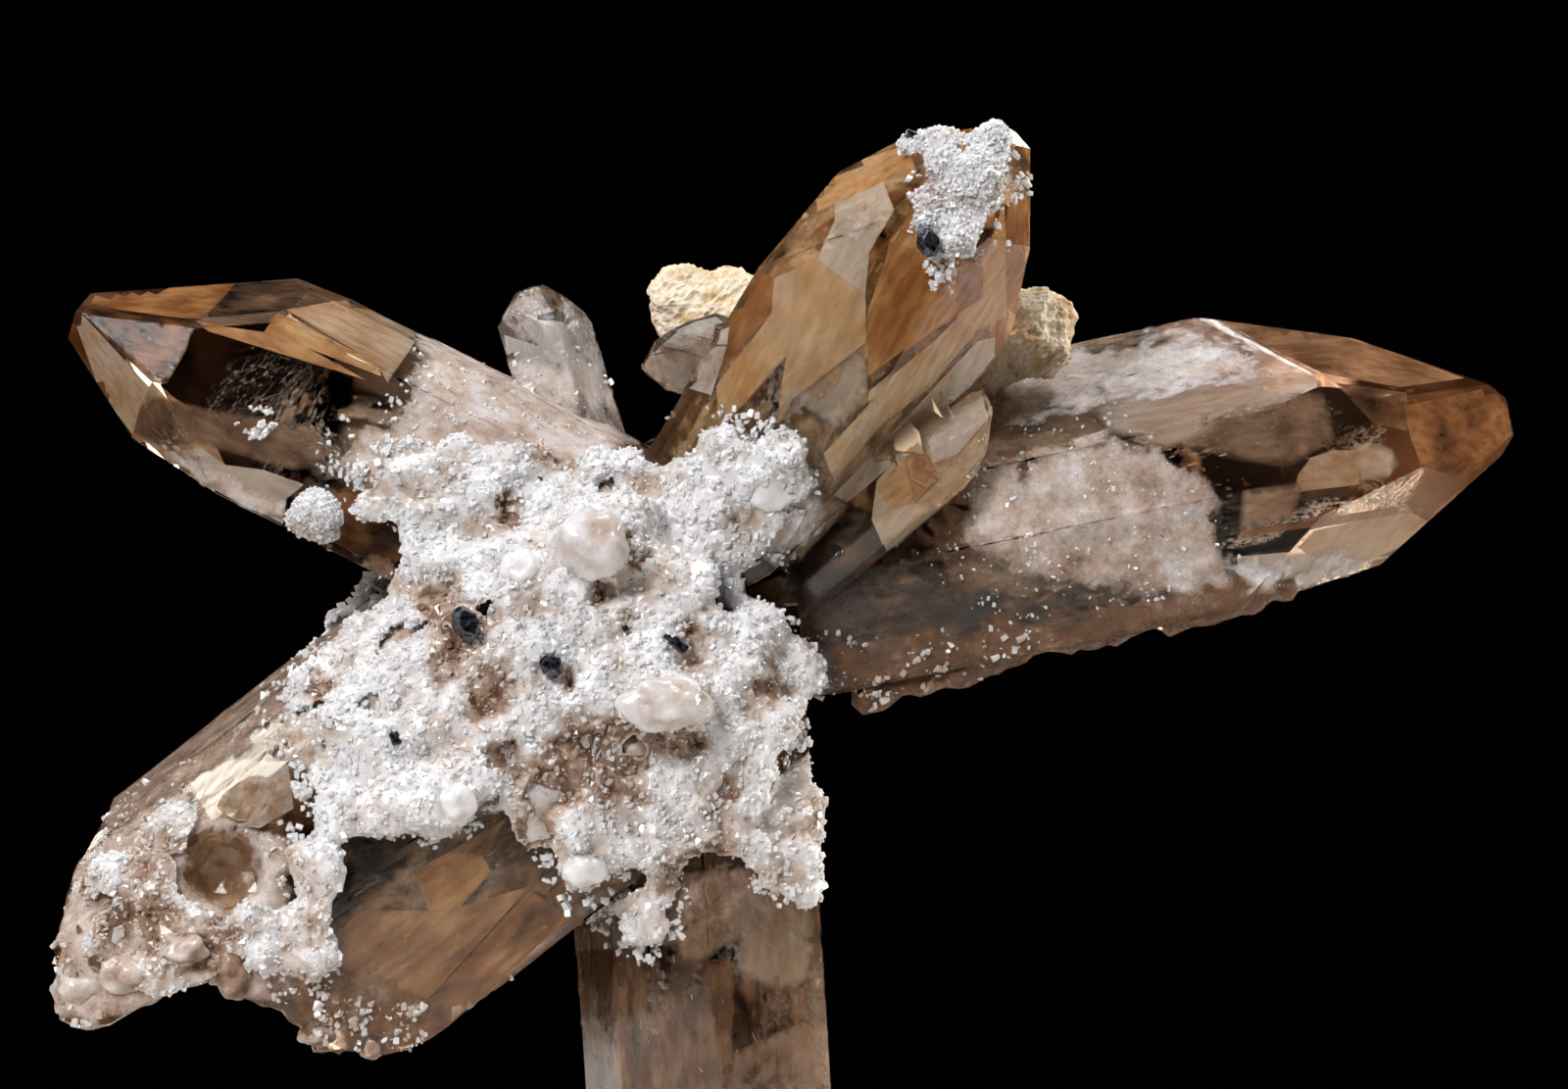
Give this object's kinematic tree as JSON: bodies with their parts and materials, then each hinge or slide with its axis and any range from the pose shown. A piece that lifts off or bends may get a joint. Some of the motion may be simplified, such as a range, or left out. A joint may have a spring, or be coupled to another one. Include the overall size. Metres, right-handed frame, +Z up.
{
  "type": "topaz crystal",
  "caption": "Spray of sherry-coloured topaz prisms grown together, with a sugary white crust and a scrap of cream rock, standing on a flat cleavage face.",
  "frame": {"origin": "centre of the flat cleavage face that the specimen stands on", "axes": "+X to the right along the longest spread of the spray, +Y away from the viewer, +Z up"},
  "size_m": [0.0602, 0.0218, 0.0423],
  "materials": {
    "topaz": "clear natural topaz, champagne to orange-brown, with milky zones and fine growth lines",
    "crust": "sugary white druse of tiny sparkling grains",
    "rhyolite": "matt cream rhyolite with rusty specks",
    "bixbyite": "black, bright metallic lustre"
  },
  "bodies": {
    "root": {"topaz_crystals": "topaz", "druse_crust": "crust", "back_crust": "crust", "far_crust": "crust", "tip_crust": "crust", "crust_ball": "crust", "rhyolite_matrix": "rhyolite", "bixbyite_left": "bixbyite", "bixbyite_middle": "bixbyite", "bixbyite_upper": "bixbyite"}
  },
  "joints": []
}
